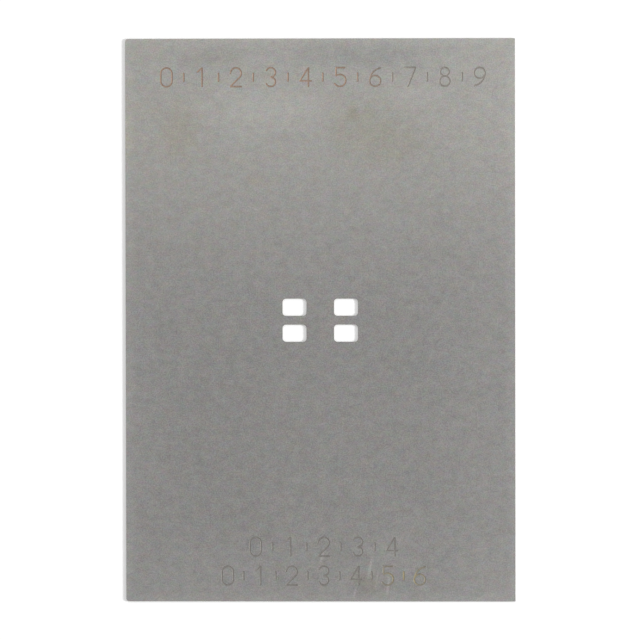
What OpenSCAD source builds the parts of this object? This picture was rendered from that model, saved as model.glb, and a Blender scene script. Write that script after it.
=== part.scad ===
// Solder paste stencil: one piece of stainless foil, cut by laser, with a block of
// round-cornered apertures for the solder pads of one small component.
// Millimetres. The foil lies flat, centred on the Z axis: z = 0 is the board side,
// and +Z is the squeegee side. +Y is towards the end that carries the long marking.

/* [Foil] */
// Width of the foil on the squeegee side, along X
foil_w = 22.86; // [20:0.01:60]
// Length of the foil on the squeegee side, along Y
foil_l = 33.02; // [24:0.01:90]
// Thickness of the rolled foil
foil_t = 0.127; // [0.08:0.001:0.25]
// Radius of the two left corners
left_corner_r = 0.18; // [0.05:0.01:2]
// Radius of the two right corners
right_corner_r = 0.05; // [0.05:0.01:2]

/* [Laser cut] */
// How much farther out each side of a cut is on the board side, where the beam enters
cut_flare = 0.008; // [0.002:0.001:0.02]

/* [Apertures] */
// Width of one aperture on the squeegee side, along X
aperture_w = 1.4; // [0.8:0.01:2.2]
// Length of one aperture on the squeegee side, along Y
aperture_l = 1; // [0.7:0.01:1.3]
// Radius of an aperture's corners on the squeegee side
aperture_r = 0.2; // [0.05:0.01:0.3]
// Number of aperture columns, side by side along X
columns = 2; // [1:1:4]
// Number of aperture rows, one above another along Y
rows = 2; // [1:1:5]
// Distance between the centres of neighbouring columns
column_pitch = 3.02; // [2.4:0.01:5]
// Distance between the centres of neighbouring rows
row_pitch = 1.524; // [1.4:0.001:4]

/* [Hidden] */
$fn = 48;
steel = [0.57, 0.57, 0.555];
// How far a cutter runs past each face of the foil
overcut = foil_t;
// Which way a solid follows the flare: a cutter grows towards the board side, and
// the foil, whose own outline is the other side of such a cut, gets smaller
CUTTER = 1;
FOIL = -1;

// How far out a cut edge lies at height z, counted from its line on the squeegee side
function flare(z) = cut_flare * (foil_t - z) / foil_t;

// Bar along X from height z0 to z1. Its long sides lean with the flare.
module leaning_bar(length, half_w, z0, z1, way) {
    corners = [[-1, z0], [1, z0], [1, z1], [-1, z1]];
    rotate([90, 0, 90])
        linear_extrude(length, center = true)
            polygon([for (c = corners) [c[0] * (half_w + way * flare(c[1])), c[1]]]);
}

// Strip along Y that ends in a cone at each corner centre
module rounded_side(r, span, z0, z1, way) {
    rotate(90)
        leaning_bar(span, r, z0, z1, way);
    for (end = [-1, 1])
        translate([0, end * span / 2, z0])
            cylinder(h = z1 - z0, r1 = r + way * flare(z0), r2 = r + way * flare(z1));
}

// Rounded rectangle with leaning walls, w by l on the squeegee side. The corner
// centres stay put from face to face, so all the walls lean by the same amount.
module cut_block(w, l, left_r, right_r, z0, z1, way) {
    translate([(left_r - right_r) / 2, 0])
        leaning_bar(w - left_r - right_r, l / 2, z0, z1, way);
    translate([left_r - w / 2, 0])
        rounded_side(left_r, l - 2 * left_r, z0, z1, way);
    translate([w / 2 - right_r, 0])
        rounded_side(right_r, l - 2 * right_r, z0, z1, way);
}

module aperture() {
    cut_block(
        aperture_w, aperture_l, aperture_r, aperture_r,
        -overcut, foil_t + overcut, CUTTER
    );
}

module stencil_foil() {
    color(steel)
        difference() {
            cut_block(foil_w, foil_l, left_corner_r, right_corner_r, 0, foil_t, FOIL);
            for (i = [0 : columns - 1], j = [0 : rows - 1])
                translate([
                    (i - (columns - 1) / 2) * column_pitch,
                    (j - (rows - 1) / 2) * row_pitch,
                ])
                    aperture();
        }
}

stencil_foil();
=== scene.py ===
# %% [markdown]
# # A solder paste stencil
#
# A stencil of this kind is a piece of stainless foil about as thick as a sheet of paper. A laser
# cuts the small windows, called apertures, that let paste through onto a board, and the same
# laser, turned down, scratches a mark into the surface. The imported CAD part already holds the
# foil at its true size, so this script gives it what CAD leaves out: the engraved grooves, the
# rolled finish of the steel, the stains and scratches of use, and the light.

# %% Set up
import math

import bmesh
import bpy
from mathutils import Matrix, Vector


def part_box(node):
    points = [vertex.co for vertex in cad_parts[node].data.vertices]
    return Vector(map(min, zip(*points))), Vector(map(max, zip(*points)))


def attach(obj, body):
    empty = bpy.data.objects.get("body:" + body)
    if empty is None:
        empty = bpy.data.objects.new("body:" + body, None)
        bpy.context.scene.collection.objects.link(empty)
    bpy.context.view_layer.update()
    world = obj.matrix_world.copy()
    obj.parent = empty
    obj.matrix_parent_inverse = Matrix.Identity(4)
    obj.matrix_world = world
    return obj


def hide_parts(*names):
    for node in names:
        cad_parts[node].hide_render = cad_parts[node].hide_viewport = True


MM = 0.001
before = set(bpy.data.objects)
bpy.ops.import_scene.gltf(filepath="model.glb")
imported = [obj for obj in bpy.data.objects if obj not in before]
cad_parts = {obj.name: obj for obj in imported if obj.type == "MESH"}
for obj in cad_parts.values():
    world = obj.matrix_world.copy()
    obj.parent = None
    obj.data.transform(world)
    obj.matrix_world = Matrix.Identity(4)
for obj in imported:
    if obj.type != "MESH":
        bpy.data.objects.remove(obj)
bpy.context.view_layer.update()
bpy.context.scene.view_settings.view_transform = "Standard"

NODE = "stencil_foil"
foil_low, foil_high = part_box(NODE)
foil_w, foil_l, foil_t = foil_high - foil_low
foil_top = foil_high.z
print(f"foil {foil_w / MM:.2f} x {foil_l / MM:.2f} x {foil_t / MM:.3f} mm")

# %% [markdown]
# ## The camera
#
# The foil is small, so a long lens from well back keeps its sides nearly parallel. The camera
# stands almost straight above it and leans a little to the right and to the far end, which
# makes those two sides come out a hair longer.

# %% Camera
CAMERA_DISTANCE = 400 * MM
CAMERA_LEAN_X = math.radians(2.1)
CAMERA_LEAN_Y = math.radians(1.3)
CAMERA_ROLL = math.radians(-0.1)
VIEW_WIDTH = 37.53 * MM  # how much of the floor the view takes in
VIEW_CENTRE = Vector((-0.018, 0.012, 0)) * MM  # where the view's middle falls on the foil

foil_centre = Vector((0, 0, foil_top))
towards_camera = Vector((math.tan(CAMERA_LEAN_X), math.tan(CAMERA_LEAN_Y), 1)).normalized()

camera_data = bpy.data.cameras.new("camera")
camera_data.lens = camera_data.sensor_width * CAMERA_DISTANCE / VIEW_WIDTH
camera = bpy.data.objects.new("camera", camera_data)
bpy.context.scene.collection.objects.link(camera)
camera.location = foil_centre + VIEW_CENTRE + CAMERA_DISTANCE * towards_camera
camera_right = Vector((0, 1, 0)).cross(towards_camera).normalized()
camera_up = towards_camera.cross(camera_right)
facing = Matrix((camera_right, camera_up, towards_camera)).transposed()
camera.rotation_euler = (facing @ Matrix.Rotation(CAMERA_ROLL, 3, "Z")).to_euler()
bpy.context.scene.camera = camera
print(f"lens {camera_data.lens:.0f} mm")

# %% [markdown]
# ## Small helpers for node trees
#
# Every finish below is a small node tree. These helpers add a node, feed an input with either a
# number or another node's output, and build a group with named inputs and outputs, so that the
# recipes that follow read like sums.


# %% Node helpers
def feed(tree, socket, value):
    """Gives an input a number, a vector or a colour, or links another node's output to it."""
    if isinstance(value, bpy.types.NodeSocket):
        tree.links.new(value, socket)
    elif socket.type == "RGBA":
        socket.default_value = (*value, 1)
    else:
        socket.default_value = value


def add(tree, kind, inputs=None, **settings):
    """Adds a node, sets its properties, and feeds the inputs named or numbered in inputs."""
    node = tree.nodes.new(kind)
    for name, value in settings.items():
        setattr(node, name, value)
    for key, value in (inputs or {}).items():
        feed(tree, node.inputs[key], value)
    return node


def calc(tree, operation, *values, clamp=False):
    """One Math node's result."""
    inputs = dict(enumerate(values))
    return add(tree, "ShaderNodeMath", inputs, operation=operation, use_clamp=clamp).outputs[0]


def ramp(tree, value, low, high, out_low=0.0, out_high=1.0):
    """A smooth step from out_low to out_high while value goes from low to high."""
    inputs = {"Value": value, 1: low, 2: high, 3: out_low, 4: out_high}
    kind = "ShaderNodeMapRange"
    return add(tree, kind, inputs, interpolation_type="SMOOTHSTEP").outputs["Result"]


def new_group(name, inputs, outputs):
    """An empty shader group. inputs and outputs map each socket's name to its kind."""
    tree = bpy.data.node_groups.new(name, "ShaderNodeTree")
    for way, sockets in (("INPUT", inputs), ("OUTPUT", outputs)):
        for socket, kind in sockets.items():
            tree.interface.new_socket(socket, in_out=way, socket_type="NodeSocket" + kind)
    start = tree.nodes.new("NodeGroupInput").outputs
    end = tree.nodes.new("NodeGroupOutput").inputs
    return tree, start, end


def use(tree, group, **inputs):
    """Places a group in a tree. Input names are written with _ for each space."""
    node = add(tree, "ShaderNodeGroup", node_tree=group)
    for name, value in inputs.items():
        feed(tree, node.inputs[name.replace("_", " ")], value)
    return node.outputs


# %% [markdown]
# ## Floor, backdrop and light
#
# The foil lies on plain white. The floor is white paint, lit so that it comes out a little under
# full white, and the camera sees a small extra glow on it, which lifts the lit part to clean
# white and leaves the shade beside each cut edge visible. The sky is white for the camera and for
# reflections, and dimmer for the light that it gives, because the lamps give the rest. A low soft
# lamp on the right throws a narrow shade inside each aperture, and a weaker one stands higher,
# beyond the far end.

# %% Floor
FLOOR_HALF = 1.5  # in metres
FLOOR_DROP = 0.002 * MM  # keeps the floor's surface just clear of the foil's
FLOOR_WHITE = (0.9, 0.9, 0.9, 1)
FLOOR_GLOW = 0.2

floor_mesh = bpy.data.meshes.new("floor")
bm = bmesh.new()
bmesh.ops.create_grid(bm, x_segments=1, y_segments=1, size=FLOOR_HALF)
bmesh.ops.translate(bm, verts=bm.verts, vec=(0, 0, -FLOOR_DROP))
bm.to_mesh(floor_mesh)
bm.free()
floor = bpy.data.objects.new("floor", floor_mesh)
bpy.context.scene.collection.objects.link(floor)

floor_paint = bpy.data.materials.new("floor_paint")
floor_paint.use_nodes = True
tree = floor_paint.node_tree
seen = add(tree, "ShaderNodeLightPath").outputs["Is Camera Ray"]
floor_shader = tree.nodes["Principled BSDF"].inputs
floor_shader["Base Color"].default_value = FLOOR_WHITE
floor_shader["Roughness"].default_value = 1
floor_shader["Specular IOR Level"].default_value = 0
floor_shader["Emission Color"].default_value = (1, 1, 1, 1)
feed(tree, floor_shader["Emission Strength"], calc(tree, "MULTIPLY", seen, FLOOR_GLOW))
floor_mesh.materials.append(floor_paint)
print(f"floor {2 * FLOOR_HALF:.0f} m square, {FLOOR_DROP / MM:.3f} mm below the foil")

# %% Sky
SKY_LIGHT = 0.5  # the share of the light that comes from all round

world = bpy.data.worlds.new("studio")
bpy.context.scene.world = world
world.use_nodes = True
tree = world.node_tree
path = add(tree, "ShaderNodeLightPath").outputs
shown = calc(tree, "MAXIMUM", path["Is Camera Ray"], path["Is Glossy Ray"])
shown = calc(tree, "MAXIMUM", shown, path["Is Transmission Ray"])
sky = tree.nodes["Background"].inputs
sky["Color"].default_value = (1, 1, 1, 1)
feed(tree, sky["Strength"], calc(tree, "MULTIPLY_ADD", shown, 1 - SKY_LIGHT, SKY_LIGHT))
print(f"the sky gives {SKY_LIGHT:.0%} of the light")

# %% Lamps
FULL_WHITE = math.pi  # light on a white floor at which it renders as 1


def soft_lamp(name, azimuth, elevation, distance, size, share):
    """A square lamp aimed at the foil. It gives this share of the light that makes white white.

    A square lamp of power P, seen square on from a distance d, lights a surface by P / (pi d d).
    """
    a, e = math.radians(azimuth), math.radians(elevation)
    way = Vector((math.cos(a) * math.cos(e), math.sin(a) * math.cos(e), math.sin(e)))
    data = bpy.data.lights.new(name, "AREA")
    data.size = size
    data.energy = share * FULL_WHITE * math.pi * distance**2 / math.sin(e)
    lamp = bpy.data.objects.new(name, data)
    bpy.context.scene.collection.objects.link(lamp)
    lamp.location = foil_centre + distance * way
    lamp.rotation_mode = "QUATERNION"
    lamp.rotation_quaternion = (-way).to_track_quat("-Z", "Y")
    print(f"{name}: {data.energy:.2f} W")


soft_lamp("right_lamp", azimuth=0, elevation=31, distance=0.35, size=0.08, share=0.4)
soft_lamp("far_lamp", azimuth=95, elevation=58, distance=0.3, size=0.12, share=0.1)

# %% [markdown]
# ## The engraved marking
#
# The laser marks the foil with a single line, as a pen plotter writes. So the digits here are pen
# strokes and not outlines: each is a start, a heading, and a list of moves, where a plain number
# is a straight run and a pair is an arc of that radius and angle, left turns being positive. One
# unit is the height of a digit. The rows of plain digits with a short tick between neighbours
# stand for the marking of the real thing.

# %% Digits as pen strokes
DIGIT_STROKES = {
    "0": [(0.60, 0.30, 90, [0.40, (0.30, 180), 0.40, (0.30, 180)])],
    "1": [(0.35, 1.00, -90, [1.00]), (0.10, 0.78, 41, [0.33])],
    "2": [(0.01, 0.71, 90, [(0.29, -225), 0.714]), (0.00, 0.00, 0, [0.60])],
    "3": [(0.07, 0.84, 70, [(0.25, -250)]), (0.30, 0.50, 0, [(0.25, -250)])],
    "4": [(0.46, 0.00, 90, [1.00]), (0.46, 1.00, -123, [0.84]), (0.00, 0.30, 0, [0.62])],
    "5": [
        (0.55, 1.00, 180, [0.47]),
        (0.08, 1.00, -90, [0.44]),
        (0.074, 0.565, 40, [(0.32, -280)]),
    ],
    "6": [(0.59, 0.29, 90, [(0.29, 360)]), (0.01, 0.29, 90, [(0.70, -80)])],
    "7": [(0.00, 1.00, 0, [0.60]), (0.60, 1.00, -112, [1.08])],
    "8": [(0.30, 0.54, 0, [(0.27, -360)]), (0.30, 0.54, 0, [(0.23, 360)])],
    "9": [(0.01, 0.71, -90, [(0.29, 360)]), (0.59, 0.71, -90, [(0.70, -80)])],
    "tick": [(0.30, 0.28, 90, [0.44])],
}
DIGIT_H = 1.1 * MM
DIGIT_W = 0.6 * DIGIT_H  # the strokes above are drawn 0.6 wide
GROOVE_W = 0.1 * MM
GROOVE_DEPTH = 0.02 * MM
ARC_STEP = 15  # degrees turned for each ring of an arc
print(f"{len(DIGIT_STROKES)} glyphs, drawn {DIGIT_H / MM:.1f} mm high")

# %% [markdown]
# The cutter for a groove is swept as the laser moves. It starts as a flat disc stood on edge at
# the start of the stroke, with its lower half in the foil. A straight run extrudes the disc, and
# an arc spins it. A stroke that comes back to its start is welded into a ring, and an open one
# gets narrower tips. The disc's middle is a hair above the foil's surface, so that none of its
# corners lies exactly in that surface, where a cut could not tell inside from outside.

# %% The groove cutter
DISC_SIDES = 12
DISC_LIFT = 0.08  # how far the disc's middle is raised, as a share of the depth
TIP_LENGTH = 0.3  # length of a narrower tip, as a share of the width
TIP_SCALE = 0.5
MEETING = 0.1  # ends nearer than this share of the width are one and the same


def sweep(bm, tip, way, length):
    """Extrudes the disc tip along a direction and gives back the new tip and its corners."""
    last = bmesh.ops.extrude_face_region(bm, geom=[tip, *tip.edges, *tip.verts])["geom"]
    corners = [v for v in last if isinstance(v, bmesh.types.BMVert)]
    bmesh.ops.translate(bm, verts=corners, vec=length * way)
    return next(f for f in last if isinstance(f, bmesh.types.BMFace)), corners


def cut_stroke(bm, corner, size, stroke):
    """Adds to bm the solid that one pen stroke takes out. corner is the digit's lower left."""
    width, depth = GROOVE_W, GROOVE_DEPTH
    x, y, heading, moves = stroke
    start = corner + size * Vector((x, y, 0)) + Vector((0, 0, DISC_LIFT * depth))
    at = start.copy()
    angle = math.radians(heading)
    flatten = Matrix.Diagonal((1, 1, depth / (width / 2), 1))
    on_edge = flatten @ Matrix.Rotation(math.pi / 2, 4, "Y")
    place = Matrix.Translation(at) @ Matrix.Rotation(angle, 4, "Z") @ on_edge
    made = bmesh.ops.create_circle(
        bm, cap_ends=True, segments=DISC_SIDES, radius=width / 2, matrix=place
    )
    first = tip = made["verts"][0].link_faces[0]
    backward = Vector((-math.cos(angle), -math.sin(angle), 0))
    for move in moves:
        forward = Vector((math.cos(angle), math.sin(angle), 0))
        if isinstance(move, tuple):
            radius = move[0] * size
            turn = math.radians(move[1])
            left = Vector((-forward.y, forward.x, 0))
            centre = at + math.copysign(radius, turn) * left
            steps = max(2, round(abs(move[1]) / ARC_STEP))
            region = [tip, *tip.edges, *tip.verts]
            made = bmesh.ops.spin(
                bm, geom=region, cent=centre, axis=(0, 0, 1), angle=turn, steps=steps
            )
            tip = next(f for f in made["geom_last"] if isinstance(f, bmesh.types.BMFace))
            at = centre + Matrix.Rotation(turn, 3, "Z") @ (at - centre)
            angle += turn
            forward = Vector((math.cos(angle), math.sin(angle), 0))
        else:
            tip, _ = sweep(bm, tip, forward, move * size)
            at = at + move * size * forward
    if (at - start).length < MEETING * width:
        ends = [*first.verts, *tip.verts]
        bmesh.ops.delete(bm, geom=[first, tip], context="FACES_ONLY")
        bmesh.ops.remove_doubles(bm, verts=ends, dist=MEETING * width)
        return
    for end, way in ((first, backward), (tip, forward)):
        end, corners = sweep(bm, end, way, TIP_LENGTH * width)
        about = Matrix.Translation(-end.calc_center_median())
        bmesh.ops.scale(bm, vec=(TIP_SCALE, TIP_SCALE, TIP_SCALE), space=about, verts=corners)


# %% [markdown]
# ## Laying out the three rows
#
# Each row is centred a little to the right of the foil's middle line, as the real marking is, and
# stands at a fixed distance from the nearer end of the foil. The strokes of one digit cross each
# other, and a solver wants cutters that don't, so the first strokes of all the digits go into one
# mesh, the second strokes into another, and so on.

# %% Rows of digits
MARKING_SHIFT = 0.17 * MM
MARKING_ROWS = (
    # digits, pitch from a digit to its tick, and where the digits' feet stand along Y
    (10, 1.02 * MM, foil_high.y - 2.81 * MM),
    (5, 1.00 * MM, foil_low.y + 2.66 * MM),
    (7, 0.94 * MM, foil_low.y + 0.96 * MM),
)
PASSES = max(len(strokes) for strokes in DIGIT_STROKES.values())


def glyphs():
    """Each digit and tick of the three rows, with its lower left corner."""
    for digit_count, pitch, foot in MARKING_ROWS:
        cells = 2 * digit_count - 1
        for cell in range(cells):
            middle = MARKING_SHIFT + (cell - (cells - 1) / 2) * pitch
            name = "tick" if cell % 2 else str(cell // 2)
            yield name, Vector((middle - DIGIT_W / 2, foot, foil_top))


def make_cutter(number):
    """The solids that stroke number of every glyph takes out."""
    bm = bmesh.new()
    for glyph, corner in glyphs():
        for stroke in DIGIT_STROKES[glyph][number : number + 1]:
            cut_stroke(bm, corner, DIGIT_H, stroke)
    bmesh.ops.recalc_face_normals(bm, faces=bm.faces)
    for face in bm.faces:
        face.smooth = True
    mesh = bpy.data.meshes.new(f"strokes_{number}")
    bm.to_mesh(mesh)
    bm.free()
    print(f"{mesh.name}: {len(mesh.polygons)} faces")
    return mesh


cutter_meshes = [make_cutter(number) for number in range(PASSES)]

# %% [markdown]
# ## Groups for the steel's finish
#
# Rolled foil isn't one flat grey. It has a fine grain from the rolls, cloudy patches where flux
# and fingers have dulled it, a few stains and scratches, and a paler band along its edge. Each of
# these is a group that gives a mask or a value, so that the steel of both faces can be mixed
# from the same few parts. All of them work in millimetres.


# %% Grain
# Each noise has factors on X, Y and Z, of which a small one draws the pattern out that way, and
# a scale, for places in millimetres.
CLOUD_STRETCH = (0.8, 1, 1)
CLOUD_SCALE = 2.2
LINE_STRETCH = (1, 0.03, 1)
LINE_SCALE = 5
TINT_STRETCH = (0.7, 1, 1)
TINT_SCALE = 3.5


def stretched(tree, vector, factors):
    """vector times three factors, one for each axis."""
    node = add(tree, "ShaderNodeVectorMath", {0: vector, 1: factors}, operation="MULTIPLY")
    return node.outputs["Vector"]


def noise(tree, place, scale, detail, roughness=0.5, output="Fac"):
    """A noise texture, moved so that its middle value is 0."""
    inputs = {"Vector": place, "Scale": scale, "Detail": detail, "Roughness": roughness}
    value = add(tree, "ShaderNodeTexNoise", inputs).outputs[output]
    if output == "Fac":
        return calc(tree, "SUBTRACT", value, 0.5)
    inputs = {0: value, 1: (0.5, 0.5, 0.5)}
    return add(tree, "ShaderNodeVectorMath", inputs, operation="SUBTRACT").outputs["Vector"]


def make_grain():
    """Fine grain with wider clouds and faint rolling lines along Y, all about 0, and a tint."""
    tree, start, end = new_group(
        "rolled_grain",
        {"Place": "Vector", "Grain Size": "Float", "Clouds": "Float", "Lines": "Float"},
        {"Shade": "Float", "Tint": "Vector"},
    )
    scale = calc(tree, "DIVIDE", 1, start["Grain Size"])
    fine = noise(tree, start["Place"], scale, detail=1, roughness=0.6)
    oval = stretched(tree, start["Place"], CLOUD_STRETCH)
    wide = noise(tree, oval, CLOUD_SCALE, detail=3, roughness=0.65)
    line = stretched(tree, start["Place"], LINE_STRETCH)
    drawn = noise(tree, line, LINE_SCALE, detail=3, roughness=0.7)
    shade = calc(tree, "MULTIPLY_ADD", wide, start["Clouds"], fine)
    feed(tree, end["Shade"], calc(tree, "MULTIPLY_ADD", drawn, start["Lines"], shade))
    oval = stretched(tree, start["Place"], TINT_STRETCH)
    tint = noise(tree, oval, TINT_SCALE, detail=3, roughness=0.7, output="Color")
    feed(tree, end["Tint"], tint)
    return tree


grain_group = make_grain()
print(f"{grain_group.name}: {len(grain_group.nodes)} nodes")

# %% [markdown]
# A patch measures how far a point lies from its centre, as a share of its reach. Noise is added
# to that distance before a soft step cuts it off, so the outline wanders as a dried drop's does.
# A painted mask could do this too, but a formula needs no image and stays sharp at any size.

# %% Patch
PATCH_CORE = 0.1  # the share of the reach that is at full strength
WANDER_SCALE = 0.9


def turned_about(tree, start):
    """The place as seen from a mark's own centre and direction."""
    inputs = {0: start["Place"], 1: start["Centre"]}
    away = add(tree, "ShaderNodeVectorMath", inputs, operation="SUBTRACT").outputs["Vector"]
    inputs = {"Vector": away, "Angle": calc(tree, "MULTIPLY", start["Turn"], -1)}
    return add(tree, "ShaderNodeVectorRotate", inputs, rotation_type="Z_AXIS").outputs["Vector"]


def make_patch():
    """A soft oval patch with a ragged outline: 1 at its centre and 0 outside."""
    tree, start, end = new_group(
        "soft_patch",
        {
            "Place": "Vector",
            "Centre": "Vector",
            "Reach": "Vector",
            "Turn": "Float",
            "Ragged": "Float",
        },
        {"Mask": "Float"},
    )
    inputs = {0: turned_about(tree, start), 1: start["Reach"]}
    oval = add(tree, "ShaderNodeVectorMath", inputs, operation="DIVIDE").outputs["Vector"]
    inputs = {0: stretched(tree, oval, (1, 1, 0))}
    far = add(tree, "ShaderNodeVectorMath", inputs, operation="LENGTH").outputs["Value"]
    wander = noise(tree, start["Place"], WANDER_SCALE, detail=4, roughness=0.6)
    far = calc(tree, "MULTIPLY_ADD", wander, start["Ragged"], far)
    feed(tree, end["Mask"], ramp(tree, far, PATCH_CORE, 1, out_low=1, out_high=0))
    return tree


patch_group = make_patch()
print(f"{patch_group.name}: {len(patch_group.nodes)} nodes")

# %% [markdown]
# A scratch is a thin bar in its own turned axes, with soft sides and longer soft ends. It could
# be cut like the marking, but a rub has hardly any depth and shows only as a pale line.

# %% Scratch
# A scratch has full strength up to these shares of its length and width, counted from its
# centre, and is gone at 0.5, where its ends and sides are.
SCRATCH_ENDS = 0.15
SCRATCH_SIDES = 0.1


def make_scratch():
    """A thin straight scratch that fades out towards its ends."""
    tree, start, end = new_group(
        "scratch",
        {
            "Place": "Vector",
            "Centre": "Vector",
            "Length": "Float",
            "Width": "Float",
            "Turn": "Float",
        },
        {"Mask": "Float"},
    )
    seen = add(tree, "ShaderNodeSeparateXYZ", {0: turned_about(tree, start)}).outputs
    along = calc(tree, "DIVIDE", calc(tree, "ABSOLUTE", seen["X"]), start["Length"])
    across = calc(tree, "DIVIDE", calc(tree, "ABSOLUTE", seen["Y"]), start["Width"])
    ends = ramp(tree, along, SCRATCH_ENDS, 0.5, out_low=1, out_high=0)
    sides = ramp(tree, across, SCRATCH_SIDES, 0.5, out_low=1, out_high=0)
    feed(tree, end["Mask"], calc(tree, "MULTIPLY", ends, sides))
    return tree


scratch_group = make_scratch()
print(f"{scratch_group.name}: {len(scratch_group.nodes)} nodes")

# %% [markdown]
# The paler edge needs the distance to the nearest of four sides. Folding X and Y onto their
# positive sides turns that into one subtraction, where four separate masks would need four.


# %% Edge band
def make_edge_band():
    """A band along the inside of a rectangle's four sides, strongest at the very edge."""
    tree, start, end = new_group(
        "edge_band",
        {"Place": "Vector", "Half Size": "Vector", "Band": "Float"},
        {"Mask": "Float"},
    )
    inputs = {0: start["Place"]}
    folded = add(tree, "ShaderNodeVectorMath", inputs, operation="ABSOLUTE").outputs["Vector"]
    inputs = {0: start["Half Size"], 1: folded}
    inside = add(tree, "ShaderNodeVectorMath", inputs, operation="SUBTRACT").outputs["Vector"]
    inside = add(tree, "ShaderNodeSeparateXYZ", {0: inside}).outputs
    nearest = calc(tree, "MINIMUM", inside["X"], inside["Y"])
    share = calc(tree, "DIVIDE", nearest, start["Band"])
    feed(tree, end["Mask"], ramp(tree, share, 0, 1, out_low=1, out_high=0))
    return tree


edge_band_group = make_edge_band()
print(f"{edge_band_group.name}: {len(edge_band_group.nodes)} nodes")

# %% [markdown]
# ## The rolled steel
#
# A metal's colour is the share of red, green and blue light that it throws back. It is set well
# below clean steel's here, because the sky is white all round and leaves nothing dark for the
# metal to mirror. The patches then lighten or darken it, and some have a tint: the haze of dried
# flux cleaner is pale and a little warm, and the stains are olive, brown or bluish. The far third
# of the foil is lightened, less and less towards the apertures: partly by that haze, and partly by
# a painted sheen, the brighter reflection of light towards the far end. Where the haze lies, the
# surface is also a little rougher.

# %% Colours
STEEL = (0.231, 0.2265, 0.2195)
STEEL_ROUGHNESS = 0.42
FLUX = (1.0, 1.0, 0.975)
OLIVE = (1.012, 1.0, 0.94)
BROWN = (1.04, 0.97, 0.88)
BLUISH = (0.985, 1.0, 1.02)
NEUTRAL = (1, 1, 1)
print("steel", STEEL, "roughness", STEEL_ROUGHNESS)

# %% Haze, stains and scratches
# name: centre, reach and turn in millimetres and degrees, then how much it lightens, and its tint
STAINS = {
    "haze_middle": ((-3.2, 12.4), (5.2, 2.2), 0, 0.13, NEUTRAL),
    "haze_right": ((5.7, 13.2), (2.6, 1.1), 0, 0.08, NEUTRAL),
    "far_right_shade": ((9.0, 6.5), (5.0, 9.0), 0, -0.04, NEUTRAL),
    "far_left_shade": ((-6.6, 15.4), (3.0, 1.0), 0, -0.13, NEUTRAL),
    "far_edge_shade": ((2.4, 15.5), (6.0, 1.2), 0, -0.13, BLUISH),
    "olive_cloud": ((3.4, 10.9), (4.2, 2.6), -15, -0.08, OLIVE),
    "olive_spot": ((1.9, 12.2), (0.55, 0.75), 0, -0.14, OLIVE),
    "left_olive": ((-8.3, 11.2), (2.1, 2.9), 0, -0.06, OLIVE),
    "left_edge_stain": ((-11.2, 10.8), (0.5, 1.5), 0, 0.04, OLIVE),
    "brown_spot": ((-3.8, 8.1), (0.6, 0.4), 0, 0.0, BROWN),
    "lower_left_shade": ((-5.5, -8.0), (5.0, 9.0), 0, -0.035, NEUTRAL),
    "lower_right_haze": ((4.4, -13.0), (3.4, 2.2), 60, 0.05, NEUTRAL),
    "left_margin": ((-11.2, -5.0), (2.2, 13.0), 0, 0.05, NEUTRAL),
    "blot_left": ((-4.0, -13.1), (0.5, 0.6), 0, -0.10, NEUTRAL),
    "blot_middle": ((-2.3, -15.0), (0.8, 0.5), 0, -0.06, NEUTRAL),
    "blot_right": ((2.6, -15.5), (1.5, 0.9), 0, -0.10, OLIVE),
    "spot_by_aperture": ((1.8, 2.4), (0.35, 0.3), 0, -0.08, NEUTRAL),
}
# centre, length, width and turn in millimetres and degrees, then how much it lightens
SCRATCHES = (
    ((2.9, -14.5), 1.6, 0.25, 78, 0.22),
    ((2.0, -16.0), 0.9, 0.22, 75, 0.26),
    ((3.95, -15.6), 1.4, 0.22, 82, 0.26),
    ((3.3, -15.2), 1.5, 0.16, 80, 0.15),
    ((0.1, -13.8), 1.4, 0.22, 75, 0.22),
    ((4.6, -13.1), 2.2, 0.2, 66, 0.07),
    ((5.4, -12.2), 2.8, 0.18, 62, 0.06),
    ((1.2, -7.2), 5.5, 0.16, 84, 0.05),
    ((2.3, -9.4), 4.5, 0.16, 82, 0.05),
    ((0.2, -9.8), 4.0, 0.14, 86, 0.04),
    ((3.3, -11.0), 3.6, 0.16, 78, 0.05),
    ((3.9, -1.8), 1.2, 0.12, 64, 0.10),
    ((6.9, -0.7), 1.5, 0.12, 58, 0.08),
    ((-1.6, 9.2), 4.5, 0.16, 2, 0.04),
)
RAGGED = 1.2  # how far a patch's outline wanders
GRAIN_SIZE = 0.07  # in mm
GRAIN_SHADE = 0.85  # how much the grain changes the brightness
GRAIN_TINT = 0.34  # and the colour
GRAIN_ROUGH = 0.2  # and the roughness
CLOUDS = 0.38  # strength of the clouds beside the grain's
EDGE_BAND = 0.7  # in mm
EDGE_LIGHT = 0.09
HALF_SIZE = (foil_w / MM / 2, foil_l / MM / 2, 1)
print(f"{len(STAINS)} stains and {len(SCRATCHES)} scratches")


def millimetres(tree):
    """The object's own coordinates in millimetres."""
    place = add(tree, "ShaderNodeTexCoord").outputs["Object"]
    inputs = {0: place, "Scale": 1 / MM}
    return add(tree, "ShaderNodeVectorMath", inputs, operation="SCALE").outputs["Vector"]


def mixed(tree, first, second, amount, blend="MIX"):
    """first where amount is 0, and where it is 1, second or the two blended."""
    node = add(tree, "ShaderNodeMix", data_type="RGBA", blend_type=blend)
    for socket, value in ((0, amount), (6, first), (7, second)):
        feed(tree, node.inputs[socket], value)
    return node.outputs[2]


def tinted(tree, colour, tint, amount):
    """colour multiplied by tint where amount is 1, and left alone where it is 0."""
    return mixed(tree, colour, tint, amount, blend="MULTIPLY")


def lightened(tree, colour, factor):
    """colour times a number."""
    inputs = {0: colour, "Scale": factor}
    return add(tree, "ShaderNodeVectorMath", inputs, operation="SCALE").outputs["Vector"]


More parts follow.
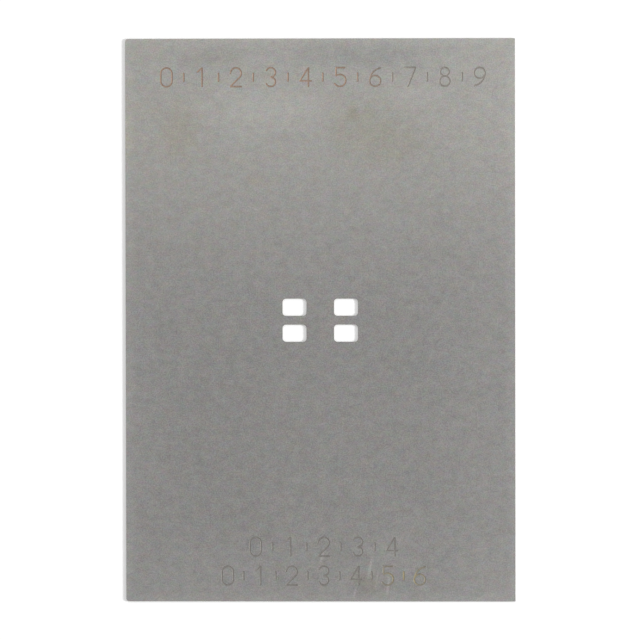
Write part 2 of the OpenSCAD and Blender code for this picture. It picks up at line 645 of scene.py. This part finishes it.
def mottled(tree, colour, tint, amount):
    """colour with each of its parts raised or lowered by the tint noise."""
    inputs = {0: tint, 1: (amount, amount, amount), 2: (1, 1, 1)}
    near_one = add(tree, "ShaderNodeVectorMath", inputs, operation="MULTIPLY_ADD")
    inputs = {0: colour, 1: near_one.outputs["Vector"]}
    return add(tree, "ShaderNodeVectorMath", inputs, operation="MULTIPLY").outputs["Vector"]


def new_steel(name):
    """A new steel material, its tree, its shader's inputs and the place in millimetres."""
    material = bpy.data.materials.new(name)
    material.use_nodes = True
    tree = material.node_tree
    shader = tree.nodes["Principled BSDF"].inputs
    shader["Metallic"].default_value = 1
    return material, tree, shader, millimetres(tree)


# %% [markdown]
# The squeegee face is the one that is looked at. Its brightness is a plain sum: 1, plus or minus
# what the grain, each patch and each scratch adds. The sum then multiplies the steel's colour.

# %% Squeegee face
# painted sheen: the far third is lightened partly for flux haze, partly for brighter reflected
# light
HAZE_AND_SHEEN_START = -1.5  # where haze and painted sheen begin and where they are full, in mm along Y
HAZE_AND_SHEEN_FULL = 13.5
HAZE_AND_SHEEN_LIGHT = 0.285
HAZE_ROUGH = 0.05
RIGHT_START = 4.5  # the right-hand margin and the near end are paler too
RIGHT_FULL = 11.4
RIGHT_LIGHT = 0.09
NEAR_START = -11
NEAR_FULL = -16.5
NEAR_LIGHT = 0.08
SQUEEGEE_LINES = 0.04  # strength of the rolling lines


def make_squeegee_face():
    """The used face: grain, haze with painted sheen, stains and scratches."""
    material, tree, shader, place = new_steel("squeegee_face")
    along = add(tree, "ShaderNodeSeparateXYZ", {0: place}).outputs
    grain = use(
        tree,
        grain_group,
        Place=place,
        Grain_Size=GRAIN_SIZE,
        Clouds=CLOUDS,
        Lines=SQUEEGEE_LINES,
    )
    light = calc(tree, "MULTIPLY_ADD", grain["Shade"], GRAIN_SHADE, 1)
    # painted sheen together with real haze: lighter towards the far end
    haze_and_sheen = ramp(tree, along["Y"], HAZE_AND_SHEEN_START, HAZE_AND_SHEEN_FULL)
    light = calc(tree, "MULTIPLY_ADD", haze_and_sheen, HAZE_AND_SHEEN_LIGHT, light)
    right = ramp(tree, along["X"], RIGHT_START, RIGHT_FULL, 0, RIGHT_LIGHT)
    light = calc(tree, "ADD", light, right)
    near = ramp(tree, along["Y"], NEAR_FULL, NEAR_START, NEAR_LIGHT, 0)
    light = calc(tree, "ADD", light, near)
    colour = tinted(tree, mottled(tree, STEEL, grain["Tint"], GRAIN_TINT), FLUX, haze_and_sheen)
    for (x, y), (reach_x, reach_y), turn, lighter, tint in STAINS.values():
        mask = use(
            tree,
            patch_group,
            Place=place,
            Centre=(x, y, 0),
            Reach=(reach_x, reach_y, 1),
            Turn=math.radians(turn),
            Ragged=RAGGED,
        )["Mask"]
        light = calc(tree, "MULTIPLY_ADD", mask, lighter, light)
        if tint is not NEUTRAL:
            colour = tinted(tree, colour, tint, mask)
    for (x, y), length, width, turn, lighter in SCRATCHES:
        mask = use(
            tree,
            scratch_group,
            Place=place,
            Centre=(x, y, 0),
            Length=length,
            Width=width,
            Turn=math.radians(turn),
        )["Mask"]
        light = calc(tree, "MULTIPLY_ADD", mask, lighter, light)
    edge = use(tree, edge_band_group, Place=place, Half_Size=HALF_SIZE, Band=EDGE_BAND)["Mask"]
    light = calc(tree, "MULTIPLY_ADD", edge, EDGE_LIGHT, light)
    feed(tree, shader["Base Color"], lightened(tree, colour, light))
    rough = calc(tree, "MULTIPLY_ADD", grain["Shade"], GRAIN_ROUGH, STEEL_ROUGHNESS)
    feed(tree, shader["Roughness"], calc(tree, "MULTIPLY_ADD", haze_and_sheen, HAZE_ROUGH, rough))
    return material


squeegee_face = make_squeegee_face()
print(f"{squeegee_face.name}: {len(squeegee_face.node_tree.nodes)} nodes")

# %% [markdown]
# The board face has the same rolled grain but no haze, because it lies against clean boards. The
# laser's beam enters on this side, so a thin straw-coloured ring of heat runs round each
# aperture and along the foil's own edge. All four rings come from one rounded box: folding X and
# Y onto their positive sides puts the four apertures on top of each other.

# %% Board face
inner = [v.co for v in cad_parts[NODE].data.vertices if abs(v.co.y) < foil_l / 4]
inner = [(abs(co.x) / MM, abs(co.y) / MM) for co in inner if abs(co.x) < foil_w / 4]
near_corner = [min(values) for values in zip(*inner)]
far_corner = [max(values) for values in zip(*inner)]
aperture_middle = [(a + b) / 2 for a, b in zip(near_corner, far_corner)]
aperture_half = [(b - a) / 2 for a, b in zip(near_corner, far_corner)]
print("widest, an aperture is {:.3f} x {:.3f} mm".format(*(2 * half for half in aperture_half)))
RING_WIDTH = 0.18  # in mm
RING_TINT = (1.0, 0.9, 0.72)
RING_CORNER = 0.2  # radius of the ring's inner corners, in mm
BOARD_LINES = 0.06  # strength of the rolling lines


def make_board_face():
    """The clean face, with a ring of heat colour round each aperture."""
    material, tree, shader, place = new_steel("board_face")
    grain = use(
        tree,
        grain_group,
        Place=place,
        Grain_Size=GRAIN_SIZE,
        Clouds=CLOUDS,
        Lines=BOARD_LINES,
    )
    light = calc(tree, "MULTIPLY_ADD", grain["Shade"], GRAIN_SHADE, 1)
    colour = mottled(tree, STEEL, grain["Tint"], GRAIN_TINT)
    away = stretched(tree, place, (1, 1, 0))
    core = (aperture_half[0] - RING_CORNER, aperture_half[1] - RING_CORNER, 0)
    for shift in ((*aperture_middle, 0), core):
        away = add(tree, "ShaderNodeVectorMath", {0: away}, operation="ABSOLUTE").outputs["Vector"]
        inputs = {0: away, 1: shift}
        away = add(tree, "ShaderNodeVectorMath", inputs, operation="SUBTRACT").outputs["Vector"]
    inputs = {0: away, 1: (0, 0, 0)}
    away = add(tree, "ShaderNodeVectorMath", inputs, operation="MAXIMUM").outputs["Vector"]
    away = add(tree, "ShaderNodeVectorMath", {0: away}, operation="LENGTH").outputs["Value"]
    ring = ramp(tree, away, RING_CORNER, RING_CORNER + RING_WIDTH, 1, 0)
    edge = use(tree, edge_band_group, Place=place, Half_Size=HALF_SIZE, Band=RING_WIDTH)["Mask"]
    colour = tinted(tree, colour, RING_TINT, calc(tree, "MAXIMUM", ring, edge))
    feed(tree, shader["Base Color"], lightened(tree, colour, light))
    rough = calc(tree, "MULTIPLY_ADD", grain["Shade"], GRAIN_ROUGH, STEEL_ROUGHNESS)
    feed(tree, shader["Roughness"], rough)
    return material


board_face = make_board_face()
print(f"{board_face.name}: {len(board_face.node_tree.nodes)} nodes")

# %% [markdown]
# The cut walls show fine upright lines, one for each pulse of the laser. Noise that is squeezed
# along the wall and stretched over its height gives them.

# %% Cut wall
WALL = (0.17, 0.155, 0.135)
WALL_ROUGHNESS = 0.45
PULSE_LINES = 25  # about how many for each millimetre
PULSE_STRETCH = (1, 1, 0.1)
PULSE_SHADE = 0.9


def make_cut_wall():
    """The laser-cut edge, with its upright lines."""
    material, tree, shader, place = new_steel("cut_wall")
    upright = stretched(tree, place, PULSE_STRETCH)
    lines = noise(tree, upright, PULSE_LINES, detail=2, roughness=0.6)
    light = calc(tree, "MULTIPLY_ADD", lines, PULSE_SHADE, 1)
    feed(tree, shader["Base Color"], lightened(tree, WALL, light))
    shader["Roughness"].default_value = WALL_ROUGHNESS
    return material


cut_wall = make_cut_wall()
print(f"{cut_wall.name}: {len(cut_wall.node_tree.nodes)} nodes")

# %% [markdown]
# The grooves of the long row are orange-brown on the left and fade to grey on the right, where
# the laser ran cooler. The two short rows are plain dark grey, with a touch of gold at the
# right. This gold is partly heat colour and partly a painted highlight, for the light that the lit
# groove walls throw back there. The colour therefore follows X and Y, and fine noise makes it
# stronger and weaker along each stroke.

# %% Engraved groove
GROOVE_WARM = (0.275, 0.205, 0.162)
GROOVE_COOL = (0.235, 0.218, 0.198)
GROOVE_NEAR = (0.2, 0.19, 0.176)
# gold: heat colour, brightened as a painted highlight of the lit groove walls
GROOVE_GOLD_HIGHLIGHT = (0.27, 0.235, 0.15)
WARM_END = 1.5  # the colour changes between these two places along X
COOL_START = 5.0
FADE_SCALE = 1.6
FADE_WANDER = 4  # noise shifts that change by up to half of this either way, in mm
HALFWAY = 1  # the long row's colour takes over within this distance of the middle, in mm
GOLD_HIGHLIGHT_CENTRE = (5.0, -15.0, 0)
GOLD_HIGHLIGHT_REACH = (2.2, 1.2, 1)
BURN_SCALE = 14
BURN_SHADE = 0.8
GROOVE_ROUGHNESS = 0.62


def make_engraved_groove():
    """The bottom of the marking, coloured by the laser's heat."""
    material, tree, shader, place = new_steel("engraved_groove")
    along = add(tree, "ShaderNodeSeparateXYZ", {0: place}).outputs
    wander = noise(tree, place, FADE_SCALE, detail=2)
    right = calc(tree, "MULTIPLY_ADD", wander, FADE_WANDER, along["X"])
    far_row = mixed(tree, GROOVE_WARM, GROOVE_COOL, ramp(tree, right, WARM_END, COOL_START))
    colour = mixed(tree, GROOVE_NEAR, far_row, ramp(tree, along["Y"], -HALFWAY, HALFWAY))
    # the gold patch is heat colour and partly a painted highlight of the lit groove walls
    gold_highlight = use(
        tree,
        patch_group,
        Place=place,
        Centre=GOLD_HIGHLIGHT_CENTRE,
        Reach=GOLD_HIGHLIGHT_REACH,
        Ragged=RAGGED,
    )["Mask"]
    colour = mixed(tree, colour, GROOVE_GOLD_HIGHLIGHT, gold_highlight)
    burn = noise(tree, place, BURN_SCALE, detail=2)
    light = calc(tree, "MULTIPLY_ADD", burn, BURN_SHADE, 1)
    feed(tree, shader["Base Color"], lightened(tree, colour, light))
    shader["Roughness"].default_value = GROOVE_ROUGHNESS
    return material


engraved_groove = make_engraved_groove()
print(f"{engraved_groove.name}: {len(engraved_groove.node_tree.nodes)} nodes")

# %% [markdown]
# ## The foil
#
# The CAD mesh arrives as loose triangles, so a copy of it is welded. Its sharp rims get a very
# small round, as electropolishing leaves. Then the strokes are cut out of it. The manifold solver
# is quick and always gives a closed solid, but only if its inputs are closed and don't fold through
# themselves. That is why each pass holds strokes that never meet, and why everything is enlarged
# to millimetres for the cut: the solver treats very short distances as nothing.

# %% Foil
RIM_ROUND = 0.006 * MM
WELD = 0.0002 * MM
RIM_ANGLE = math.radians(60)
FACING = 0.5  # a face whose normal rises or falls more than this is part of a flat side
MATERIALS = (squeegee_face, board_face, cut_wall, engraved_groove)

foil_mesh = bpy.data.meshes.new("foil")
bm = bmesh.new()
bm.from_mesh(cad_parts[NODE].data)
bmesh.ops.remove_doubles(bm, verts=bm.verts, dist=WELD)
for face in bm.faces:
    flat = squeegee_face if face.normal.z > 0 else board_face
    face.material_index = MATERIALS.index(flat if abs(face.normal.z) > FACING else cut_wall)
rims = [edge for edge in bm.edges if edge.calc_face_angle(0) > RIM_ANGLE]
bmesh.ops.bevel(
    bm, geom=rims, offset=RIM_ROUND, segments=2, profile=0.5, affect="EDGES", material=-1
)
bmesh.ops.triangulate(bm, faces=bm.faces)
bm.to_mesh(foil_mesh)
bm.free()
for material in MATERIALS:
    foil_mesh.materials.append(material)
foil = bpy.data.objects.new("foil", foil_mesh)
bpy.context.scene.collection.objects.link(foil)
print(f"{len(rims)} rim edges rounded, {len(foil_mesh.polygons)} faces")

# %% Cut the marking
SHORTEST_EDGE = 0.0001  # in mm, as the mesh is during the cut
foil_mesh.transform(Matrix.Scale(1 / MM, 4))
for mesh in cutter_meshes:
    mesh.transform(Matrix.Scale(1 / MM, 4))
    mesh.materials.append(engraved_groove)
    cutter = bpy.data.objects.new(mesh.name, mesh)
    bpy.context.scene.collection.objects.link(cutter)
    cut = foil.modifiers.new(mesh.name, "BOOLEAN")
    cut.operation = "DIFFERENCE"
    cut.solver = "MANIFOLD"
    cut.material_mode = "TRANSFER"
    cut.object = cutter
shaped = foil.evaluated_get(bpy.context.evaluated_depsgraph_get())
bm = bmesh.new()
bm.from_mesh(shaped.data)
bmesh.ops.triangulate(bm, faces=bm.faces)
bmesh.ops.dissolve_degenerate(bm, dist=SHORTEST_EDGE, edges=bm.edges)
bmesh.ops.triangulate(bm, faces=bm.faces)
engraved_mesh = bpy.data.meshes.new("engraved_foil")
bm.to_mesh(engraved_mesh)
closed = all(len(edge.link_faces) == 2 for edge in bm.edges)
print(f"{len(bm.faces)} faces, closed: {closed}, {bm.calc_volume():.2f} cubic mm")
bm.free()
for material in shaped.data.materials:
    engraved_mesh.materials.append(bpy.data.materials[material.name])
engraved_mesh.transform(Matrix.Scale(MM, 4))
foil.modifiers.clear()
foil.data = engraved_mesh
for mesh in (*cutter_meshes, foil_mesh):
    bpy.data.meshes.remove(mesh)  # takes a cutter's object with it

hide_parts(NODE)
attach(foil, "root")
